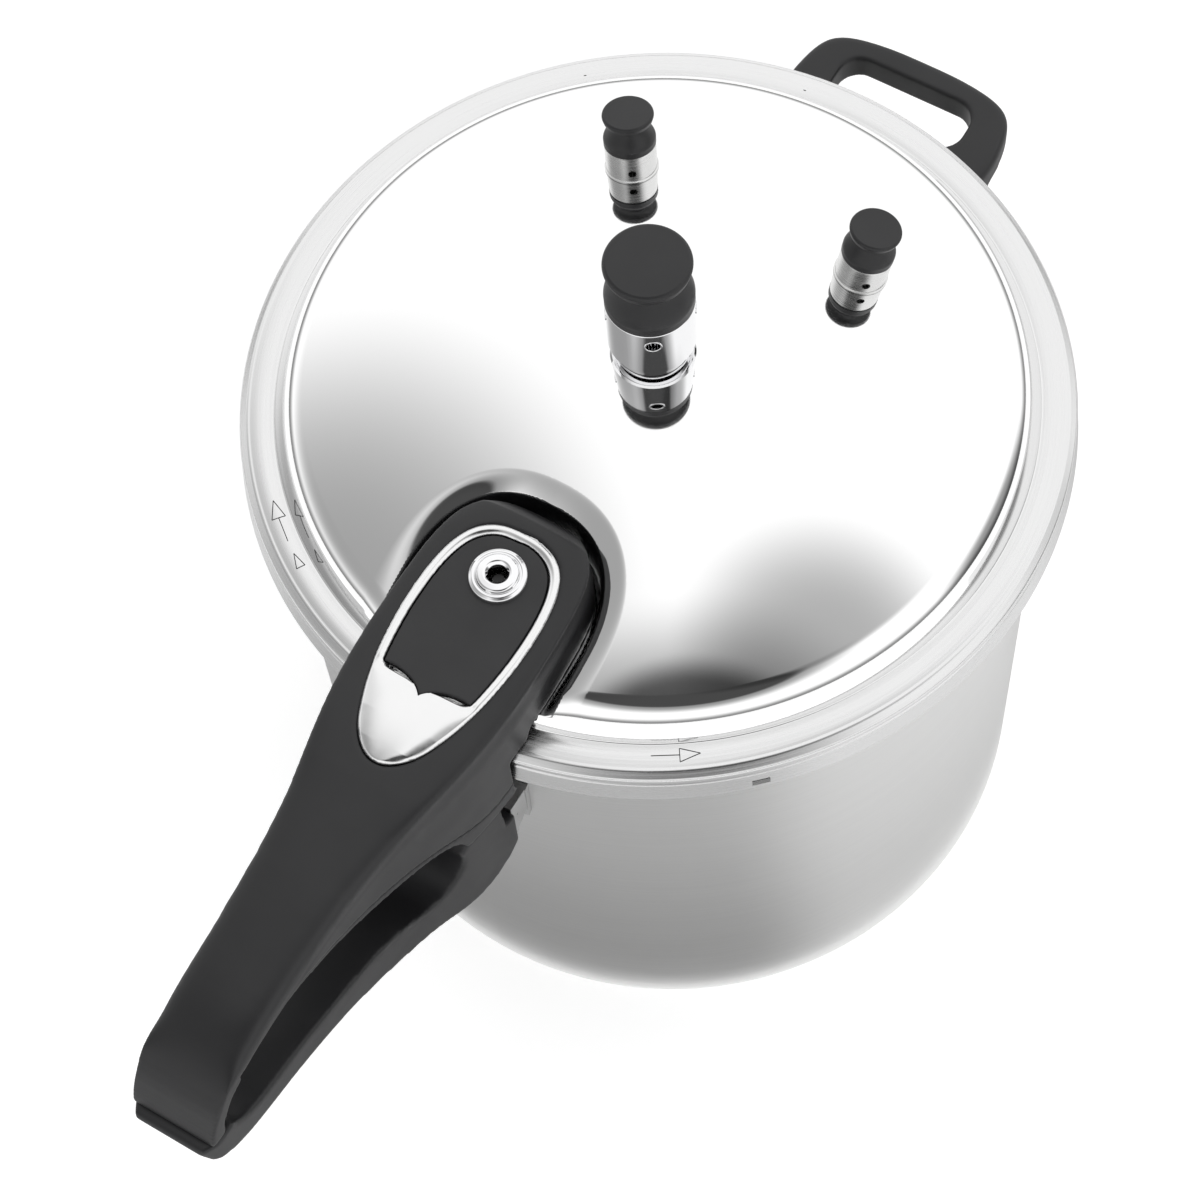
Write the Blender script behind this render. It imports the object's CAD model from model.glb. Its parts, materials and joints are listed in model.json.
"""Looks of a stovetop pressure cooker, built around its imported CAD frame.

Lengths inside the shape functions are millimetres, as in the CAD source; MM turns them into metres
when a mesh is made. +Z is up, the long handles lie along +X and the helper handle along -X.
"""

import math

import bpy
import numpy as np
from mathutils import Matrix, Vector
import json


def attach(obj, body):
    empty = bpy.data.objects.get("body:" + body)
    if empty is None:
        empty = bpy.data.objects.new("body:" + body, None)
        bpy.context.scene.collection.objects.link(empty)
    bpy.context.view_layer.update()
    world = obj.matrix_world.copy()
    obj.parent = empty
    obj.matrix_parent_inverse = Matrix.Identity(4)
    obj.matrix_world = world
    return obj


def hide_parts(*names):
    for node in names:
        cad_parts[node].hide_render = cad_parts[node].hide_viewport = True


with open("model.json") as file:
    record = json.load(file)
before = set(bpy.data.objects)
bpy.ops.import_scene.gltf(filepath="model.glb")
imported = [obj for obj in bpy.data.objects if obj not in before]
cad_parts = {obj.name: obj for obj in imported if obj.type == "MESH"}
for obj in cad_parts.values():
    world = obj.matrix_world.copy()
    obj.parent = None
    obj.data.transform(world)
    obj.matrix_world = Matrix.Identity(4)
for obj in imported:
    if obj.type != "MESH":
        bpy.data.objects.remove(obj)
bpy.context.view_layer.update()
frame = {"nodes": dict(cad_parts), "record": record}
nodes = frame["nodes"]

MM = 0.001

# ---------------------------------------------------------------- driving sizes
# Heights are above the hob. Azimuths run from +X towards +Y, in degrees.

# lid
SEAM = 200.0                 # underside of the lid's rolled edge
DOME_R = 310.0               # radius of the dome's sphere
DOME_TOP = SEAM + 31.0
SHOULDER_START = 100.1       # radius at which the dome passes into the shoulder's bend
SHOULDER_R = 12.0
RISER_ANGLE = math.radians(62.0)
FLANGE_Z = SEAM + 3.3
BEAD_HEIGHT = 0.45           # low bead on the flange
BEAD_IN = 109.9
BEAD_WIDTH = 6.9
LID_R = 120.0                # rolled edge
SKIRT_R = 121.0
SKIRT_BOTTOM = SEAM - 9.5
SHEET = 2.0                  # thickness of the lid's sheet
VENT_HOLE_R = 5.1            # hole in the dome for the vent pipe

WINDOW_TOP = SEAM - 4.6      # small window in the skirt
WINDOW_BOTTOM = SEAM - 7.0
WINDOW_TURN = 44.0
WINDOW_HALF_TURN = 1.36

LUG_COUNT = 6
LUG_HALF_TURN = 10
LUG_STEPS = 20               # faces along a lug
LUG_IN = 114.6
LUG_OUT = SKIRT_R - 1.4
LUG_BOTTOM = SKIRT_BOTTOM + 0.05
LUG_TOP = SKIRT_BOTTOM + 2.35

MARK_R = 113.3               # arrows and triangle on the flange
MARK_WIDTH = 0.24
MARK_LIFT = 0.06
DIMPLE_R = 112.6

# head of the long handles, and the recess that is pressed into the lid for it
HEAD_CENTRE = 90.0           # the head's outline is a superellipse from this x to its nose
HEAD_LENGTH = 31.7
HEAD_HALF = 24.8
HEAD_POWER = 2.45
RECESS_FLOOR = SEAM + 8.0
RECESS_GAP = 0.6             # between the head and the foot of the recess's wall
RECESS_STEEP = 3.4           # width of the wall's steep lower part
ROLL_START = 2.4             # the sloping shoulder over it lies between these two
ROLL_END = 9.2
ROLL_SHARE = 0.15            # part of the wall's height that the shoulder takes
INNER_LEAN = math.radians(24.0)      # lean of the same wall on the inner skin

# upper handle, its silver trim and what stands on the lid
HANDLE_TOP = SEAM + 28.5
HANDLE_SIDE = ((58, 10), (62, 15), (67.5, 20.5), (77, 23.6), (90, 24.7), (117, 24.6), (131, 23.2),
               (144, 20.8), (160, 17.3), (178, 14.9), (200, 13.7), (222, 13.4), (248, 13.0))
HANDLE_CREST = ((58, HANDLE_TOP), (150, HANDLE_TOP), (182, 227.6), (208, 225.6), (226, 222.4),
                (238, 215.5), (245, 206.5), (248, 199))
TRIM_POINTS = ((67.6, 0), (68.4, 7.2), (72.2, 13.2), (79, 16.8), (88, 18.4), (98, 18.7), (110, 17.8),
               (122, 15.7), (132, 12.5), (139.5, 8.4), (144.5, 0))
TRIM_END = ((110, 17.8), (122, 15.7), (132, 12.5), (139.5, 8.4), (143.2, 3.6), (144.5, 0.5))
TRIM_TOP = HANDLE_TOP + 0.9
TRIM_RING = 2.9              # width of the trim's ring
CUSP_X = 119.0               # where the trim's plate begins
INDICATOR_X = 82.4
PIN_TOP = HANDLE_TOP - 1.5   # the indicator's pin at rest
PIN_R = 1.58
RELIEF_AT = 64.0             # relief valves: distance of their seats from the lid's axis
RELIEF_HALF_ANGLE = 36.0     # and azimuth to either side of -X
RELIEF_R = 7.5
HOLE_Z = SEAM + 49.2         # side holes of the weight
HOLE_TURNS = (34, 124, 214, 304)

# stage
FLOOR_HALF = 6000.0
FLOOR_Z = -0.4
FLAG_IN = 118.0
FLAG_OUT = 700.0
FLAG_Z = 1.0

# camera: its place in metres, the direction from the pot to it, its roll and its lens on 36 mm
CAMERA_AT = Vector((0.3707, 0.2464, 0.9707))
CAMERA_BACK = Vector((0.3572, 0.2643, 0.8959))
CAMERA_ROLL = math.radians(-6.32)
CAMERA_LENS = 92.79


# ---------------------------------------------------------------- mesh helpers
def add_object(name, data):
    """A new object in the scene that shows the given data."""
    made = bpy.data.objects.new(name, data)
    bpy.context.scene.collection.objects.link(made)
    return made


def mesh_piece(name, points, faces, normals=None):
    """A smooth-shaded mesh object from points in millimetres."""
    mesh = bpy.data.meshes.new(name)
    mesh.from_pydata((np.asarray(points, float) * MM).tolist(), [], faces)
    mesh.shade_smooth()
    if normals is not None:
        mesh.normals_split_custom_set_from_vertices(np.asarray(normals, float).tolist())
    return add_object(name, mesh)


def finish_piece(piece, body, slot, *replaced):
    """Give a piece its body, its slot with that slot's material, and the CAD nodes it stands for."""
    piece.data.materials.clear()
    piece.data.materials.append(SLOT_MATERIAL[slot])
    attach(piece, body)
    if replaced:
        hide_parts(*replaced)


def rounded(outline, steps=5):
    """Outline of (radius, height, corner) points with every corner turned into an arc."""
    points = []
    count = len(outline)
    for i, (x, y, corner) in enumerate(outline):
        here = np.array((x, y))
        if corner <= 0:
            points.append(here)
            continue
        before = np.array(outline[i - 1][:2]) - here
        after = np.array(outline[(i + 1) % count][:2]) - here
        reach_before, reach_after = np.linalg.norm(before), np.linalg.norm(after)
        before, after = before / reach_before, after / reach_after
        angle = math.acos(max(-1.0, min(1.0, float(before @ after))))
        cut = min(corner / math.tan(angle / 2), 0.49 * reach_before, 0.49 * reach_after)
        radius = cut * math.tan(angle / 2)
        middle = (before + after) / np.linalg.norm(before + after)
        centre = here + middle * radius / math.sin(angle / 2)
        first, last = here + before * cut - centre, here + after * cut - centre
        for k in range(steps + 1):
            share = k / steps
            arm = first * (1 - share) + last * share
            points.append(centre + arm / np.linalg.norm(arm) * radius)
    return points


def outline_normals(points):
    """Unit normals of a closed outline, each leaning to the longer of its two sides."""
    points = np.array(points)
    ahead = np.roll(points, -1, axis=0) - points
    sides = np.stack([ahead[:, 1], -ahead[:, 0]], axis=1)
    weighted = sides * np.linalg.norm(sides, axis=1)[:, None]
    total = weighted + np.roll(weighted, 1, axis=0)
    return total / np.maximum(np.linalg.norm(total, axis=1), 1e-9)[:, None]


def lathe(name, outline, place, steps=144, corner_steps=5):
    """A solid of revolution about Z from a closed outline, counter-clockwise with r to the right."""
    profile = np.array(rounded(outline, corner_steps))
    slopes = outline_normals(profile)
    turn = np.arange(steps) * 2 * math.pi / steps
    points, normals = [], []
    for (radius, height), (out, up) in zip(profile, slopes):
        ring = np.stack([radius * np.cos(turn), radius * np.sin(turn), np.full(steps, height)], axis=1)
        points.append(ring)
        normals.append(np.stack([out * np.cos(turn), out * np.sin(turn), np.full(steps, up)], axis=1))
    count = len(profile)
    faces = []
    for i in range(count):
        ahead = (i + 1) % count
        for j in range(steps):
            beside = (j + 1) % steps
            faces.append((i * steps + j, i * steps + beside, ahead * steps + beside, ahead * steps + j))
    turned = np.array(place.to_3x3())
    shift = np.array(place.translation)
    points = np.concatenate(points) @ turned.T + shift
    return mesh_piece(name, points, faces, np.concatenate(normals) @ turned.T)


def soften(name, node, cell, passes, shape):
    """A rounded copy of a CAD node: remeshed in small cells, relaxed, then given its finer shape."""
    piece = add_object(name, nodes[node].data.copy())
    remesh = piece.modifiers.new("cells", "REMESH")
    remesh.mode = "VOXEL"
    remesh.voxel_size = cell * MM
    relax = piece.modifiers.new("relax", "SMOOTH")
    relax.factor = 0.5
    relax.iterations = passes
    settled = bpy.data.meshes.new_from_object(piece.evaluated_get(bpy.context.evaluated_depsgraph_get()))
    piece.modifiers.clear()
    piece.data = settled
    piece.data.name = name
    if shape:
        set_points(piece, shape(mesh_points(piece) / MM) * MM)
    piece.data.shade_smooth()
    return piece


def mesh_points(piece):
    """The corner points of a piece's mesh, in metres."""
    flat = np.zeros(len(piece.data.vertices) * 3, np.float32)
    piece.data.vertices.foreach_get("co", flat)
    return flat.reshape(-1, 3).astype(float)


def set_points(piece, points):
    """Move the corner points of a piece's mesh, in metres."""
    piece.data.vertices.foreach_set("co", points.astype(np.float32).ravel())
    piece.data.update()


def smooth_min(a, b, width):
    """The lower of two heights, rounded where they are within a width of each other."""
    share = np.maximum(width - np.abs(a - b), 0) / width
    return np.minimum(a, b) - share ** 3 * width / 6


def smooth_max(a, b, width):
    """The higher of two heights, rounded in the same way."""
    return -smooth_min(-a, -b, width)


def smooth_step(low, high, value):
    """0 below the low value, 1 above the high one, and a smooth rise between."""
    share = np.clip((value - low) / (high - low), 0, 1)
    return share * share * (3 - 2 * share)


# ---------------------------------------------------------------- materials
class Shader:
    """A material's node tree with short ways to add and link nodes."""

    def __init__(self, name, tree=None):
        if tree is not None:
            self.tree = tree
            return
        self.material = bpy.data.materials.new(name)
        self.material.use_nodes = True
        self.tree = self.material.node_tree
        self.surface = self.tree.nodes["Principled BSDF"]

    def feed(self, sockets, values):
        """Link each output to its socket, and set each plain value on the socket itself."""
        for socket, value in zip(sockets, values):
            if isinstance(value, bpy.types.NodeSocket):
                self.tree.links.new(value, socket)
            else:
                socket.default_value = value

    def put(self, node, socket, value):
        """Feed one input of a node, by name."""
        self.feed([node.inputs[socket]], [value])

    def math(self, operation, a, b=0.0, c=0.0):
        """One step of arithmetic."""
        made = self.tree.nodes.new("ShaderNodeMath")
        made.operation = operation
        self.feed(made.inputs, (a, b, c))
        return made.outputs[0]

    def span(self, value, low, high, to_low, to_high):
        """Value mapped smoothly from one range to another."""
        made = self.tree.nodes.new("ShaderNodeMapRange")
        made.interpolation_type = "SMOOTHSTEP"
        self.feed(made.inputs[:5], (value, low, high, to_low, to_high))
        return made.outputs[0]

    def place(self):
        """X, Y, Z of the point in the object's own coordinates, apart and as one vector."""
        coordinates = self.tree.nodes.new("ShaderNodeTexCoord")
        split = self.tree.nodes.new("ShaderNodeSeparateXYZ")
        self.tree.links.new(coordinates.outputs["Object"], split.inputs[0])
        return split.outputs, coordinates.outputs["Object"]

    def reach(self, x, y):
        """Distance from the Z axis."""
        return self.math("SQRT", self.math("ADD", self.math("MULTIPLY", x, x), self.math("MULTIPLY", y, y)))

    def noise(self, vector, scale, detail=3.0, roughness=0.55):
        """Cloudy noise about one half."""
        made = self.tree.nodes.new("ShaderNodeTexNoise")
        self.put(made, "Scale", scale)
        self.put(made, "Detail", detail)
        self.put(made, "Roughness", roughness)
        self.put(made, "Vector", vector)
        return made.outputs["Fac"]

    def stretched(self, x, y, z):
        """Vector from three numbers, to draw a noise out along an axis."""
        made = self.tree.nodes.new("ShaderNodeCombineXYZ")
        self.feed(made.inputs, (x, y, z))
        return made.outputs[0]

    def bump(self, height, strength, distance):
        """Relief of the surface, its distance in metres."""
        made = self.tree.nodes.new("ShaderNodeBump")
        self.put(made, "Strength", strength)
        self.put(made, "Distance", distance)
        self.put(made, "Height", height)
        self.put(self.surface, "Normal", made.outputs[0])

    def blend(self, share, first, second):
        """Colour between two colours."""
        made = self.tree.nodes.new("ShaderNodeMix")
        made.data_type = "RGBA"
        self.put(made, "Factor", share)
        made.inputs[6].default_value = (*first, 1)
        made.inputs[7].default_value = (*second, 1)
        return made.outputs[2]


def plastic(name, dark, light, roughness, grain, depth):
    """Matte moulded plastic with a fine grain and slight colour mottling."""
    s = Shader(name)
    _, place = s.place()
    mottle = s.noise(place, 60.0, 4.0)
    s.put(s.surface, "Base Color", s.blend(mottle, dark, light))
    wear = s.span(s.noise(place, 35.0), 0.3, 0.7, roughness - 0.04, roughness + 0.05)
    s.put(s.surface, "Roughness", wear)
    s.surface.inputs["Specular IOR Level"].default_value = 0.5
    s.bump(s.noise(place, grain, 2.0), 0.35, depth)
    return s.material


def lathe_rings(s, scale):
    """Noise in fine rings round Z, as turning and brushing leave, and the distance from Z."""
    (x, y, z), _ = s.place()
    radius = s.reach(x, y)
    angle = s.math("ARCTAN2", y, x)
    along = s.stretched(s.math("MULTIPLY", radius, scale), s.math("MULTIPLY", z, scale),
                        s.math("MULTIPLY", angle, 1.6))
    return s.noise(along, 1.0, 5.0, 0.6), radius


def round_tangent(s):
    """Highlights stretched round Z."""
    tangent = s.tree.nodes.new("ShaderNodeTangent")
    tangent.direction_type = "RADIAL"
    tangent.axis = "Z"
    s.put(s.surface, "Tangent", tangent.outputs[0])


def wall_metal():
    """Aluminium brushed round the wall."""
    s = Shader("brushed_aluminium")
    rings, _ = lathe_rings(s, 2600.0)
    s.put(s.surface, "Base Color", s.blend(rings, (0.70, 0.70, 0.695), (0.86, 0.86, 0.855)))
    s.surface.inputs["Metallic"].default_value = 1.0
    s.put(s.surface, "Roughness", s.span(rings, 0.3, 0.7, 0.30, 0.40))
    s.surface.inputs["Anisotropic"].default_value = 0.8
    round_tangent(s)
    s.bump(rings, 0.12, 0.00004)
    return s.material


def lid_metal():
    """Polished aluminium: a mirror on the dome, satin on the flange and the rolled edge."""
    s = Shader("polished_aluminium")
    rings, radius = lathe_rings(s, 1800.0)
    _, place = s.place()
    share = s.span(radius, 0.1085, 0.1105, 0.0, 1.0)
    matte = s.math("ADD", s.math("MULTIPLY", share, 0.9), s.math("MULTIPLY", s.noise(place, 20.0), 0.1))
    s.put(s.surface, "Base Color", s.blend(matte, (0.94, 0.94, 0.94), (0.76, 0.76, 0.76)))
    s.surface.inputs["Metallic"].default_value = 1.0
    polish = s.span(s.noise(place, 45.0, 4.0), 0.3, 0.7, 0.03, 0.06)
    satin = s.span(rings, 0.3, 0.7, 0.16, 0.30)
    mix = s.math("ADD", s.math("MULTIPLY", polish, s.math("SUBTRACT", 1.0, share)),
                 s.math("MULTIPLY", satin, share))
    s.put(s.surface, "Roughness", mix)
    s.bump(s.math("MULTIPLY", rings, share), 0.08, 0.00003)
    return s.material


def metal(name, dark, light, roughness, grain, strength=0.05, brushed=1.0):
    """Plain metal with fine colour and roughness variation, drawn out round Z when brushed."""
    s = Shader(name)
    (x, y, z), _ = s.place()
    place = s.stretched(x, y, s.math("MULTIPLY", z, brushed))
    fleck = s.noise(place, grain, 4.0)
    s.put(s.surface, "Base Color", s.blend(fleck, dark, light))
    s.surface.inputs["Metallic"].default_value = 1.0
    s.put(s.surface, "Roughness", s.span(fleck, 0.3, 0.7, roughness * 0.8, roughness * 1.25))
    s.bump(fleck, strength, 0.00003)
    return s.material


def rubber(name):
    """Pale matte rubber."""
    s = Shader(name)
    _, place = s.place()
    s.put(s.surface, "Base Color", s.blend(s.noise(place, 80.0), (0.62, 0.62, 0.60), (0.70, 0.70, 0.68)))
    s.surface.inputs["Roughness"].default_value = 0.6
    s.bump(s.noise(place, 900.0), 0.1, 0.00003)
    return s.material


BLACK = plastic("handle_plastic", (0.009, 0.009, 0.010), (0.014, 0.014, 0.015), 0.42, 1500.0, 0.00005)
PANEL = plastic("panel_plastic", (0.015, 0.015, 0.016), (0.024, 0.024, 0.025), 0.52, 2600.0, 0.00005)
KNOB = plastic("knob_plastic", (0.011, 0.011, 0.012), (0.018, 0.018, 0.019), 0.42, 1800.0, 0.00004)
WALL = wall_metal()
POLISHED = lid_metal()
CHROME = metal("chrome", (0.86, 0.86, 0.87), (0.90, 0.90, 0.91), 0.045, 60.0, 0.0)
SILVER = metal("satin_silver", (0.80, 0.80, 0.80), (0.86, 0.86, 0.86), 0.16, 700.0)
TURNED = metal("turned_steel", (0.68, 0.68, 0.68), (0.78, 0.78, 0.77), 0.24, 50.0, 0.04, 40.0)
BRACKET = metal("bracket_aluminium", (0.60, 0.60, 0.60), (0.68, 0.68, 0.68), 0.34, 500.0, 0.1)
SCREW = metal("zinc_plate", (0.55, 0.55, 0.56), (0.65, 0.65, 0.65), 0.3, 400.0)
RUBBER = rubber("silicone")

# Every material slot of the object with its material.
SLOT_MATERIAL = {
    "pot_metal": WALL, "lid_metal": POLISHED, "bracket_steel": BRACKET, "rivet_metal": BRACKET,
    "handle_black": BLACK, "panel_black": PANEL, "trim_silver": SILVER, "chrome": CHROME,
    "knob_black": KNOB, "turned_steel": TURNED, "screw_steel": SCREW, "seal_rubber": RUBBER,
}
for part in frame["record"]["subparts"]:
    shown = nodes[part["node"]]
    shown.data.materials.clear()
    shown.data.materials.append(SLOT_MATERIAL[part["material_slot"]])


# ---------------------------------------------------------------- lid
def dome_profile(radius, inset):
    """Height of dome, shoulder and riser at a radius, on the outside or an inset under it."""
    start = math.asin(SHOULDER_START / DOME_R)
    reach = DOME_R - SHOULDER_R
    centre_r = reach * math.sin(start)
    centre_z = DOME_TOP - DOME_R + reach * math.cos(start)
    sphere, bend = DOME_R - inset, SHOULDER_R - inset
    bend_start = centre_r + bend * math.sin(start)
    bend_end = centre_r + bend * math.sin(RISER_ANGLE)
    dome = DOME_TOP - DOME_R + np.sqrt(np.maximum(sphere ** 2 - radius ** 2, 1.0))
    shoulder = centre_z + np.sqrt(np.maximum(bend ** 2 - (radius - centre_r) ** 2, 0.01))
    riser = centre_z + bend * math.cos(RISER_ANGLE) - (radius - bend_end) * math.tan(RISER_ANGLE)
    return np.where(radius < bend_start, dome, np.where(radius < bend_end, shoulder, riser))


def head_outline():
    """Plan of the handle's head as a run of points, from far behind on one side round the nose."""
    turn = np.linspace(-math.pi / 2, math.pi / 2, 241)
    x = HEAD_CENTRE - HEAD_LENGTH * np.abs(np.cos(turn)) ** (2 / HEAD_POWER)
    y = HEAD_HALF * np.sign(np.sin(turn)) * np.abs(np.sin(turn)) ** (2 / HEAD_POWER)
    far = 150.0
    return np.concatenate([[(far, -HEAD_HALF)], np.stack([x, y], axis=1), [(far, HEAD_HALF)]])


def outside_head(x, y):
    """Signed distance in plan from the head's outline, negative inside it."""
    outline = head_outline()
    start, run = outline[:-1], np.diff(outline, axis=0)
    spots = np.stack([x.ravel(), y.ravel()], axis=1)
    distance = np.empty(len(spots))
    for first in range(0, len(spots), 20000):
        part = spots[first:first + 20000, None, :] - start[None]
        share = np.clip((part * run).sum(2) / np.maximum((run * run).sum(1), 1e-9), 0, 1)
        gap = part - share[..., None] * run[None]
        distance[first:first + 20000] = np.sqrt((gap ** 2).sum(2)).min(1)
    inside = (np.abs(np.clip((HEAD_CENTRE - spots[:, 0]) / HEAD_LENGTH, 0, None)) ** HEAD_POWER
              + (np.abs(spots[:, 1]) / HEAD_HALF) ** HEAD_POWER) < 1
    return np.where(inside, -distance, distance).reshape(x.shape)


def bead(radius):
    """Rise of the flange's low bead at a radius."""
    return BEAD_HEIGHT * np.sin(np.pi * np.clip((radius - BEAD_IN) / BEAD_WIDTH, 0, 1))


def lid_height(x, y, inset):
    """Height of the lid's outer or inner skin with the pressed recess for the handle's head."""
    radius = np.hypot(x, y)
    flange = FLANGE_Z - inset + bead(radius) * (inset == 0)
    height = smooth_max(dome_profile(radius, inset), flange, 0.8 if inset == 0 else 0.5)
    near = (x > 30) & (np.abs(y) < 55) & (radius < 118)
    if not near.any():
        return height
    gap = outside_head(x[near], y[near]) - RECESS_GAP - inset / math.cos(INNER_LEAN)
    if inset == 0:
        above = np.maximum(height[near] - RECESS_FLOOR, 0)
        roll = np.clip((gap - ROLL_START) / (ROLL_END - ROLL_START), 0, 1)
        rise = (1 - ROLL_SHARE) * smooth_step(0.0, RECESS_STEEP, gap)
        rise += ROLL_SHARE * (1 - (1 - roll) ** 1.5)
        height[near] = np.minimum(height[near], RECESS_FLOOR) + above * rise
    else:
        wall = RECESS_FLOOR - inset + smooth_max(gap / math.tan(INNER_LEAN), np.zeros_like(gap), 0.5)
        height[near] = smooth_min(height[near], wall, 1.5)
    return height


def lid_rings():
    """Radii of the heightfield's rings, close together where the recess is."""
    inner = np.linspace(VENT_HOLE_R, 44.0, 20)
    middle = np.linspace(44.0, 99.5, 190)[1:]
    bend = np.linspace(99.5, 116.8, 60)[1:]
    return np.concatenate([inner, middle, bend])


def lid_columns():
    """Angles of the columns, close together over the recess and out to the window in the skirt."""
    fine = np.arange(-42.0, 48.01, 0.2)
    coarse = np.linspace(48.0, 318.0, 271)[1:-1]
    return np.radians(np.concatenate([fine, coarse]))


def lid_edge():
    """Outline from the flange over the rolled edge and the skirt and back up inside, to the sheet."""
    return rounded([
        (112.0, FLANGE_Z, 0), (LID_R - 2.4, FLANGE_Z, 1.6), (LID_R + 0.1, SEAM + 1.6, 1.5),
        (LID_R + 0.1, SEAM - 0.2, 0.6), (LID_R - 0.9, SEAM - 0.5, 0.3), (LID_R - 0.9, SEAM - 1.3, 0.3),
        (LID_R - 0.1, SEAM - 1.9, 0.5), (LID_R + 0.35, WINDOW_TOP, 0), (LID_R + 0.7, WINDOW_BOTTOM, 0),
        (SKIRT_R, SEAM - 8.4, 0.6), (SKIRT_R - 0.4, SKIRT_BOTTOM, 0.6), (SKIRT_R - 1.8, SKIRT_BOTTOM, 0.4),
        (LID_R - 1.5, WINDOW_BOTTOM, 0), (LID_R - 1.9, WINDOW_TOP, 0), (LID_R - 2.6, SEAM - 2.0, 0.5),
        (LID_R - 2.8, FLANGE_Z - SHEET, 0.8), (111.0, FLANGE_Z - SHEET, 0)])


def lid_faces(points, turn):
    """Faces between the lid's rings, with the window left open and lined through the skirt."""
    count, wide = points.shape[:2]
    top_out, top_in = [i for i in range(count) if abs(points[i, 0, 2] - WINDOW_TOP) < 1e-6]
    low_out, low_in = [i for i in range(count) if abs(points[i, 0, 2] - WINDOW_BOTTOM) < 1e-6]
    window = [j for j in range(wide) if abs(math.degrees(turn[j]) - WINDOW_TURN) < WINDOW_HALF_TURN]
    holes = {(ring, j) for ring in (top_out, low_in) for j in window[:-1]}
    faces = []

    def add_face(*corners):
        faces.append(tuple(ring * wide + j for ring, j in corners))

    for i in range(count):
        ahead = (i + 1) % count
        for j in range(wide):
            beside = (j + 1) % wide
            if (i, j) not in holes:
                add_face((i, j), (ahead, j), (ahead, beside), (i, beside))
    for j, beside in zip(window[:-1], window[1:]):
        add_face((top_out, beside), (top_out, j), (top_in, j), (top_in, beside))
        add_face((low_out, j), (low_out, beside), (low_in, beside), (low_in, j))
    first, last = window[0], window[-1]
    add_face((top_out, first), (low_out, first), (low_in, first), (top_in, first))
    add_face((top_in, last), (low_in, last), (low_out, last), (top_out, last))
    return faces


def make_lid():
    """The lid's sheet: outer skin, rolled edge with skirt, and inner skin, ring after ring."""
    turn = lid_columns()
    cos, sin = np.cos(turn), np.sin(turn)
    rings, normals = [], []

    def add_field(radii, inset, side):
        r = radii[:, None]
        x, y = r * cos[None], r * sin[None]
        step = 0.02
        z = lid_height(x, y, inset)
        slope_x = (lid_height(x + step, y, inset) - lid_height(x - step, y, inset)) / (2 * step)
        slope_y = (lid_height(x, y + step, inset) - lid_height(x, y - step, inset)) / (2 * step)
        normal = np.stack([-slope_x, -slope_y, np.ones_like(z)], axis=2) * side
        normal /= np.linalg.norm(normal, axis=2, keepdims=True)
        rings.extend(np.stack([x, y, z], axis=2))
        normals.extend(normal)

    add_field(lid_rings(), 0.0, 1.0)
    edge = lid_edge()
    slopes = -outline_normals(edge)
    for (r, z), (out, up) in zip(edge[1:-1], slopes[1:-1]):
        rings.append(np.stack([r * cos, r * sin, np.full(len(turn), z)], axis=1))
        normals.append(np.stack([out * cos, out * sin, np.full(len(turn), up)], axis=1))
    add_field(np.linspace(VENT_HOLE_R, 116.0, 90)[::-1], SHEET, -1.0)
    points, directions = np.array(rings), np.array(normals)
    return mesh_piece("lid_skin", points.reshape(-1, 3), lid_faces(points, turn), directions.reshape(-1, 3))


def make_lugs():
    """Lugs that reach in from the foot of the lid's skirt."""
    points, faces = [], []
    section = ((LUG_IN, LUG_BOTTOM), (LUG_OUT, LUG_BOTTOM), (LUG_OUT, LUG_TOP), (LUG_IN, LUG_TOP))
    wide = LUG_STEPS + 1
    for lug in range(LUG_COUNT):
        first = len(points)
        turn = np.radians(lug * 360 / LUG_COUNT + np.linspace(-LUG_HALF_TURN, LUG_HALF_TURN, wide))
        for r, z in section:
            points.extend((r * math.cos(a), r * math.sin(a), z) for a in turn)
        for side in range(4):
            here, beside = first + side * wide, first + (side + 1) % 4 * wide
            faces.extend((here + k, beside + k, beside + k + 1, here + k + 1) for k in range(LUG_STEPS))
        faces.append(tuple(first + side * wide for side in (3, 2, 1, 0)))
        faces.append(tuple(first + side * wide + LUG_STEPS for side in range(4)))
    piece = mesh_piece("lid_lugs", points, faces)
    piece.data.shade_flat()
    return piece


def engraved(name, strokes):
    """Dark lines on the flange, each a run of (azimuth in degrees, radius) corners."""
    points, faces = [], []
    for stroke in strokes:
        corners = [r * np.array((math.cos(math.radians(turn)), math.sin(math.radians(turn))))
                   for turn, r in stroke]
        for a, b in zip(corners[:-1], corners[1:]):
            length = np.linalg.norm(b - a)
            run = (b - a) / length
            side = np.array([-run[1], run[0]]) * MARK_WIDTH / 2
            shares = np.linspace(0, 1, max(2, int(length / 0.8) + 1))
            first = len(points)
            for share in shares:
                spot = a * (1 - share) + b * share
                for edge in (spot - side, spot + side):
                    points.append((*edge, FLANGE_Z + bead(math.hypot(*edge)) + MARK_LIFT))
            faces.extend((first + 2 * k, first + 2 * k + 2, first + 2 * k + 3, first + 2 * k + 1)
                         for k in range(len(shares) - 1))
    return mesh_piece(name, points, faces)


def triangle(tip, back, half):
    """An outlined triangle on the flange, between two azimuths."""
    return [(tip, MARK_R), (back, MARK_R - half), (back, MARK_R + half), (tip, MARK_R)]


def arrow(tail, tip):
    """An outlined arrow along the flange with its shaft, between two azimuths."""
    back = tip + (tail - tip) * 0.42
    return [triangle(tip, back, 2.0), [(tail, MARK_R), (back, MARK_R)]]


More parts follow.
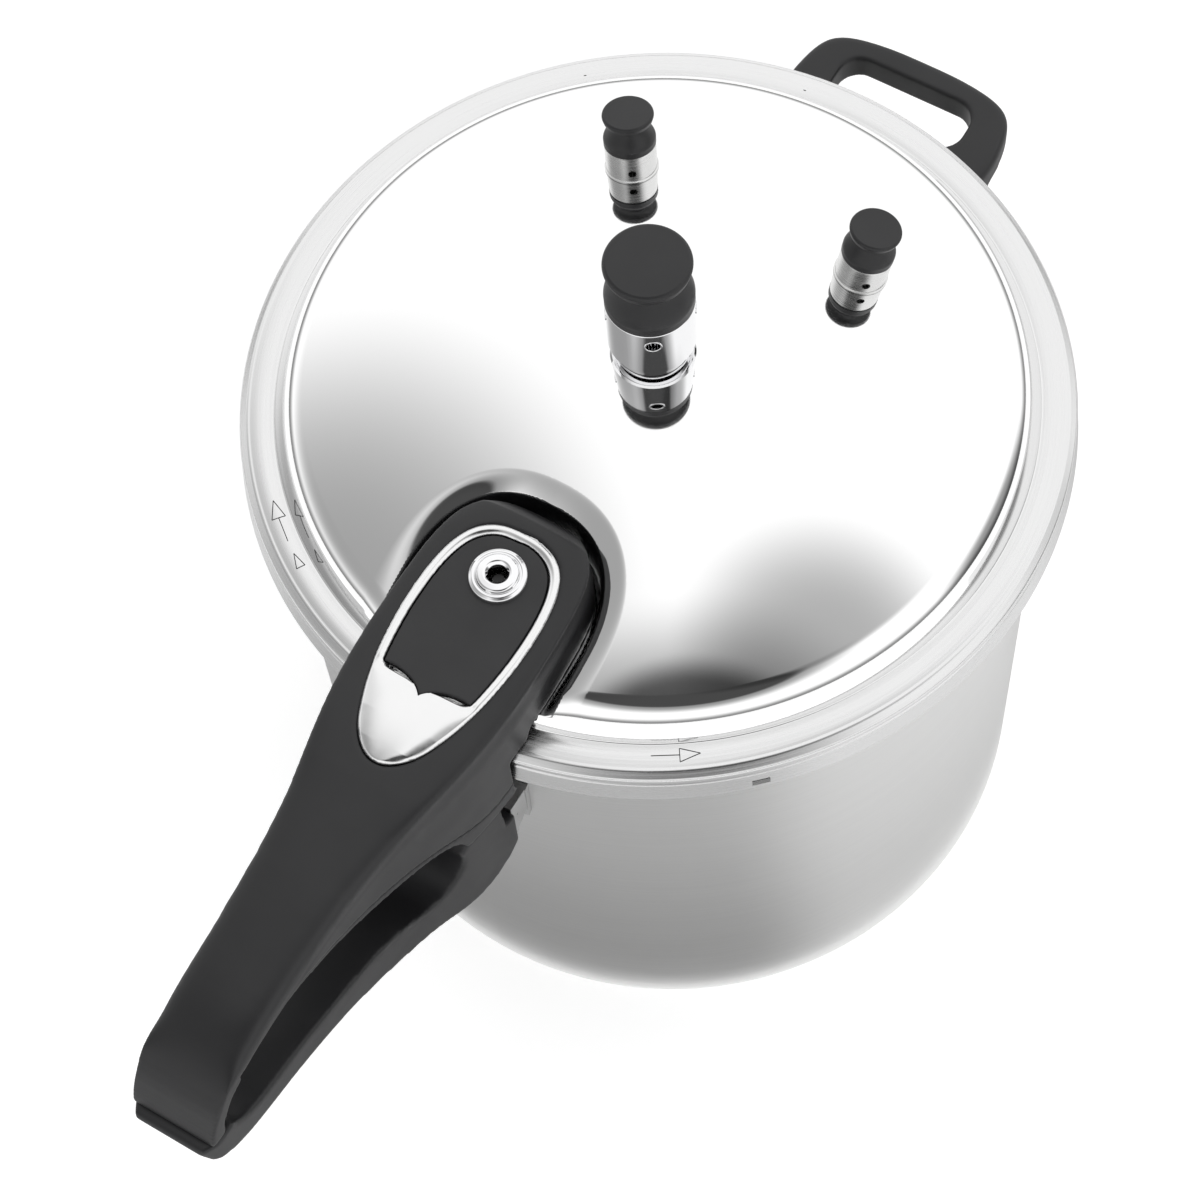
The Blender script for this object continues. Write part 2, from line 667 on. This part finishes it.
finish_piece(make_lid(), "lid", "lid_metal", "lid_shell")
finish_piece(make_lugs(), "lid", "lid_metal")
dimples = [[(turn, DIMPLE_R), (turn + 0.4, DIMPLE_R)] for turn in (-138.9, -173.2)]
marks = [*arrow(29.7, 36.5), *arrow(-35.5, -42.5), triangle(-33.3, -30.9, 1.3), *dimples]
finish_piece(engraved("turn_marks", marks), "lid", "panel_black")


# ---------------------------------------------------------------- handles
def closed_curve(points, per_side=24):
    """Points along the smooth closed curve through the given ones."""
    points = np.array(points, float)
    count = len(points)
    gap = np.linalg.norm(np.roll(points, -1, axis=0) - points, axis=1)
    system = np.zeros((count, count))
    known = np.zeros((count, 2))
    for i in range(count):
        before, after = gap[i - 1], gap[i]
        system[i, i - 1] += after
        system[i, i] += 2 * (before + after)
        system[i, (i + 1) % count] += before
        step_back = (points[i] - points[i - 1]) / before
        step_on = (points[(i + 1) % count] - points[i]) / after
        known[i] = 3 * (after * step_back + before * step_on)
    slopes = np.linalg.solve(system, known)
    share = np.linspace(0, 1, per_side, endpoint=False)[:, None]
    runs = []
    for i in range(count):
        ahead = (i + 1) % count
        start = (2 * share ** 3 - 3 * share ** 2 + 1) * points[i]
        start_slope = (share ** 3 - 2 * share ** 2 + share) * gap[i] * slopes[i]
        end = (3 * share ** 2 - 2 * share ** 3) * points[ahead]
        end_slope = (share ** 3 - share ** 2) * gap[i] * slopes[ahead]
        runs.append(start + start_slope + end + end_slope)
    return np.concatenate(runs)


def nearest(spots, line):
    """Distance in plan from each spot to the nearest point of a line of close points."""
    found = np.empty(len(spots))
    for first in range(0, len(spots), 8000):
        part = spots[first:first + 8000, None, :2] - line[None]
        found[first:first + 8000] = np.sqrt((part ** 2).sum(2)).min(1)
    return found


def crown(points):
    """Upper handle: the top falls away towards its edges, and the sides lean out to a widest line."""
    x, y, z = points.T
    half = np.interp(x, *zip(*HANDLE_SIDE))
    nose = np.maximum(HEAD_CENTRE - x, 0) / HEAD_LENGTH
    round_nose = (nose ** HEAD_POWER + (np.abs(y) / HEAD_HALF) ** HEAD_POWER) ** (1 / HEAD_POWER)
    across = np.clip(np.where(x < HEAD_CENTRE, round_nose, np.abs(y) / half), 0, 1)
    grip = smooth_step(135, 175, x)
    high = smooth_step(-9, -1, z - np.interp(x, *zip(*HANDLE_CREST)))
    drop = 1.1 * across ** 12 + grip * (0.9 * across ** 6 + 1.6 * across ** 2)
    drop *= 1 - smooth_step(226, 238, x)
    lean = 1 - (0.04 - 0.03 * grip) * high * across
    reach = 1.9 * high * smooth_step(0.72, 1.0, nose) * (1 - np.clip(np.abs(y) / HEAD_HALF, 0, 1) ** 2)
    return np.stack([x - reach, y * lean, z - drop * high], axis=1)


def tuck(points):
    """Underside of the upper handle: a little narrower along the grip, to stay within the shell."""
    x, y, z = points.T
    return np.stack([x, y * (1 - 0.05 * smooth_step(165, 205, x)), z], axis=1)


def trim_relief(points):
    """Trim: a rounded ring, and a pillowed plate that falls away to its edges."""
    outline = closed_curve([*TRIM_POINTS, *((x, -y) for x, y in reversed(TRIM_POINTS[1:-1]))])
    x, y, z = points.T
    from_edge = nearest(points, outline)
    cusp = [(CUSP_X - 0.4 + 4.2 * math.exp(-(v / 3.4) ** 2), v) for v in np.linspace(-17, 17, 120)]
    from_cusp = nearest(points, np.array(cusp))
    ring = -0.75 * ((from_edge - TRIM_RING / 2) / (TRIM_RING / 2)) ** 2
    half_width = np.interp(x, *zip(*TRIM_END))
    side = np.clip(np.abs(y) / (half_width - 0.4), 0, 1)
    pillow = -0.25 + 1.45 * (1 - side ** 4) * (1 - np.exp(-from_cusp / 3.0)) * (1 - np.exp((x - 144) / 5.0))
    plate = pillow - 0.8 * np.clip(1 - from_edge / 0.9, 0, 1) ** 2
    on_plate = smooth_step(CUSP_X - 2.0, CUSP_X + 1.5, x)
    top = smooth_step(TRIM_TOP - 2.2, TRIM_TOP - 0.3, z)
    return np.stack([x, y, z + top * (ring * (1 - on_plate) + plate * on_plate)], axis=1)


# Piece, CAD node it is a softer copy of, cell of the remesh, relaxing passes, finer shape, body, slot.
SOFT_PIECES = (
    ("upper_handle_shell", "upper_handle", 0.55, 9, crown, "lid", "handle_black"),
    ("upper_handle_under", "upper_handle_base", 0.55, 4, tuck, "lid", "handle_black"),
    ("lower_handle_grip", "lower_handle", 0.6, 14, None, "pot", "handle_black"),
    ("helper_handle_loop", "helper_handle", 0.6, 12, None, "pot", "handle_black"),
    ("handle_trim_ring", "handle_trim", 0.26, 4, trim_relief, "lid", "trim_silver"),
    ("handle_panel_face", "handle_panel", 0.3, 3, None, "lid", "panel_black"),
)
for name, node, cell, passes, shape, body, slot in SOFT_PIECES:
    finish_piece(soften(name, node, cell, passes, shape), body, slot, node)


# ---------------------------------------------------------------- turned pieces
def make_collar():
    """Domed chrome ring with a raised inner ring round a dark hole, and its sleeve."""
    base = HANDLE_TOP + 0.2
    outline = [
        (2.7, base - 3.1, 0.2), (6.0, base - 3.1, 0.2), (6.0, base - 0.02, 0), (8.25, base + 0.02, 0.1),
        (8.1, base + 1.1, 0.9), (7.0, base + 1.9, 1.0), (6.3, base + 1.6, 0.5), (5.6, base + 2.7, 0.9),
        (3.6, base + 2.9, 0.9), (2.7, base + 1.9, 0.4)]
    return lathe("indicator_dome", outline, Matrix.Translation((INDICATOR_X, 0, 0)), corner_steps=8)


def hole_rim(turn):
    """Thin bright lip round one side hole of the weight."""
    place = (Matrix.Translation((0, 0, HOLE_Z)) @ Matrix.Rotation(math.radians(turn), 4, "Z")
             @ Matrix.Rotation(math.radians(90), 4, "Y"))
    outline = [(2.0, 12.1, 0.05), (2.5, 12.1, 0.05), (2.5, 12.58, 0.2), (2.0, 12.58, 0.2)]
    return lathe(f"hole_rim_{turn}", outline, place, 48)


def make_tip():
    """Black tip on the indicator's pin."""
    outline = [(0.02, PIN_TOP + 0.01, 0), (PIN_R, PIN_TOP + 0.01, 0), (PIN_R, PIN_TOP + 0.12, 0.08),
               (0.02, PIN_TOP + 0.12, 0)]
    return lathe("indicator_tip", outline, Matrix.Translation((INDICATOR_X, 0, 0)), 48)


def slim_foot(node, side):
    """A relief valve's body with the foot pulled in to a thin lip, as a copy of its CAD mesh."""
    tilt, turn = math.asin(RELIEF_AT / DOME_R), math.radians(180 - side * RELIEF_HALF_ANGLE)
    axis = np.array((math.cos(turn) * math.sin(tilt), math.sin(turn) * math.sin(tilt), math.cos(tilt)))
    seat = np.array((0, 0, DOME_TOP - DOME_R)) + DOME_R * axis
    piece = add_object(node + "_slim", nodes[node].data.copy())
    arm = mesh_points(piece) / MM - seat
    height = arm @ axis
    out = arm - height[:, None] * axis
    radius = np.linalg.norm(out, axis=1)
    foot = (height > -0.1) & (height < 1.3) & (radius > RELIEF_R - 0.05)
    scale = np.where(foot & (radius > RELIEF_R + 0.2), (RELIEF_R + 0.35) / np.maximum(radius, 1), 1)
    height = np.where(foot, height * 0.5, height)
    set_points(piece, (seat + out * scale[:, None] + height[:, None] * axis) * MM)
    return piece


for hole_turn in HOLE_TURNS:
    finish_piece(hole_rim(hole_turn), "regulator", "chrome")
finish_piece(make_collar(), "lid", "chrome", "indicator_collar")
finish_piece(make_tip(), "indicator", "knob_black")
for valve_body, valve_side in (("left_relief_body", 1), ("right_relief_body", -1)):
    finish_piece(slim_foot(valve_body, valve_side), "lid", "turned_steel", valve_body)


# ---------------------------------------------------------------- stage, light and camera
def make_floor():
    """A wide white floor just under the pot, lit a little by itself to melt into the studio."""
    corners = [(x * FLOOR_HALF, y * FLOOR_HALF, FLOOR_Z) for x, y in ((-1, -1), (1, -1), (1, 1), (-1, 1))]
    floor = mesh_piece("floor", corners, [(0, 1, 2, 3)])
    s = Shader("floor_white")
    s.surface.inputs["Base Color"].default_value = (0.86, 0.86, 0.86, 1)
    s.surface.inputs["Roughness"].default_value = 0.9
    s.surface.inputs["Emission Color"].default_value = (1, 1, 1, 1)
    s.surface.inputs["Emission Strength"].default_value = 0.38
    floor.data.materials.append(s.material)


def make_flag():
    """A grey card on the floor that only the metal's reflections show, darker under the long handles."""
    turn = np.radians(np.arange(0, 360, 5))
    count = len(turn)
    ring = [np.stack([r * np.cos(turn), r * np.sin(turn), np.full(count, FLAG_Z)], axis=1)
            for r in (FLAG_IN, FLAG_OUT)]
    faces = [(i, (i + 1) % count, count + (i + 1) % count, count + i) for i in range(count)]
    flag = mesh_piece("floor_flag", np.concatenate(ring), faces)
    s = Shader("flag_grey")
    (x, y, _), _ = s.place()
    angle = s.math("ARCTAN2", y, x)
    dark = s.math("MULTIPLY", s.span(angle, -1.3, -0.7, 0.0, 1.0), s.span(angle, 0.75, 1.15, 1.0, 0.0))
    far = s.span(angle, 1.9, 2.6, 0.0, 0.28)
    near = s.span(s.reach(x, y), 0.120, 0.180, 0.18, 0.0)
    share = s.math("ADD", s.math("MULTIPLY", dark, 0.36), s.math("ADD", far, near))
    s.put(s.surface, "Base Color", s.blend(share, (0.95, 0.95, 0.95), (0.0, 0.0, 0.0)))
    s.surface.inputs["Roughness"].default_value = 1.0
    s.surface.inputs["Specular IOR Level"].default_value = 0.0
    flag.data.materials.append(s.material)
    flag.visible_camera = False
    flag.visible_diffuse = False
    flag.visible_shadow = False


def toward(azimuth, elevation):
    """Unit vector at an azimuth from +X and an elevation, both in degrees."""
    turn, lift = math.radians(azimuth), math.radians(elevation)
    return Vector((math.cos(turn) * math.cos(lift), math.sin(turn) * math.cos(lift), math.sin(lift)))


# Dark patches of the studio: azimuth, elevation, radius of the core, radius of the edge, brightness.
STUDIO_SHADES = (
    (36.5, 62.0, 16.0, 20.0, 0.22),
    (36.5, 58.0, 15.0, 32.0, 0.28),
    (95.0, 70.0, 3.0, 19.0, 0.42),
    (-55.0, 46.0, 6.0, 45.0, 0.34),
    (122.0, 6.0, 8.0, 24.0, 0.30),
)
STUDIO_LEVEL = 1.12
HORIZON = 0.26               # brightness of the studio at its horizon


def make_world():
    """A bright studio with dark patches, which the polished metal shows as its dark bands."""
    world = bpy.data.worlds.new("studio")
    bpy.context.scene.world = world
    world.use_nodes = True
    tree = world.node_tree
    s = Shader(None, tree)
    coordinates = tree.nodes.new("ShaderNodeTexCoord")
    upright = tree.nodes.new("ShaderNodeSeparateXYZ")
    tree.links.new(coordinates.outputs["Generated"], upright.inputs[0])
    level = s.span(upright.outputs[2], 0.02, 0.24, HORIZON, 1.0)
    for azimuth, elevation, core, edge, brightness in STUDIO_SHADES:
        product = tree.nodes.new("ShaderNodeVectorMath")
        product.operation = "DOT_PRODUCT"
        tree.links.new(coordinates.outputs["Generated"], product.inputs[0])
        product.inputs[1].default_value = toward(azimuth, elevation)
        low, high = math.cos(math.radians(edge)), math.cos(math.radians(core))
        shade = s.span(product.outputs["Value"], low, high, 1.0, brightness)
        level = s.math("MULTIPLY", level, shade)
    level = s.math("MULTIPLY", level, STUDIO_LEVEL)
    tree.links.new(level, tree.nodes["Background"].inputs["Strength"])
    tree.nodes["Background"].inputs["Color"].default_value = (1, 1, 1, 1)


def make_light(name, at, aim, size, power):
    """A rectangular lamp that the metal doesn't mirror; places and sizes in metres."""
    data = bpy.data.lights.new(name, "AREA")
    data.shape = "RECTANGLE"
    data.size, data.size_y = size
    data.energy = power
    light = add_object(name, data)
    light.location = at
    light.rotation_mode = "QUATERNION"
    light.rotation_quaternion = (Vector(aim) - Vector(at)).to_track_quat("-Z", "Y")
    light.visible_glossy = False


def make_camera():
    """The camera, looking down on the lid from the side of the long handles."""
    data = bpy.data.cameras.new("camera")
    data.lens = CAMERA_LENS
    data.sensor_width = 36.0
    data.clip_start, data.clip_end = 0.05, 50.0
    camera = add_object("camera", data)
    back = CAMERA_BACK.normalized()
    right = Vector((-back.y, back.x, 0)).normalized()
    up = back.cross(right)
    turned_right = right * math.cos(CAMERA_ROLL) + up * math.sin(CAMERA_ROLL)
    turned_up = up * math.cos(CAMERA_ROLL) - right * math.sin(CAMERA_ROLL)
    turn = Matrix((turned_right, turned_up, back)).transposed()
    camera.matrix_world = Matrix.Translation(CAMERA_AT) @ turn.to_4x4()
    bpy.context.scene.camera = camera


make_floor()
make_flag()
make_world()
make_light("fill", (0.9, 0.6, 1.2), (0.05, 0.05, 0.1), (0.8, 0.8), 6.0)
make_camera()
bpy.context.scene.view_settings.view_transform = "Standard"
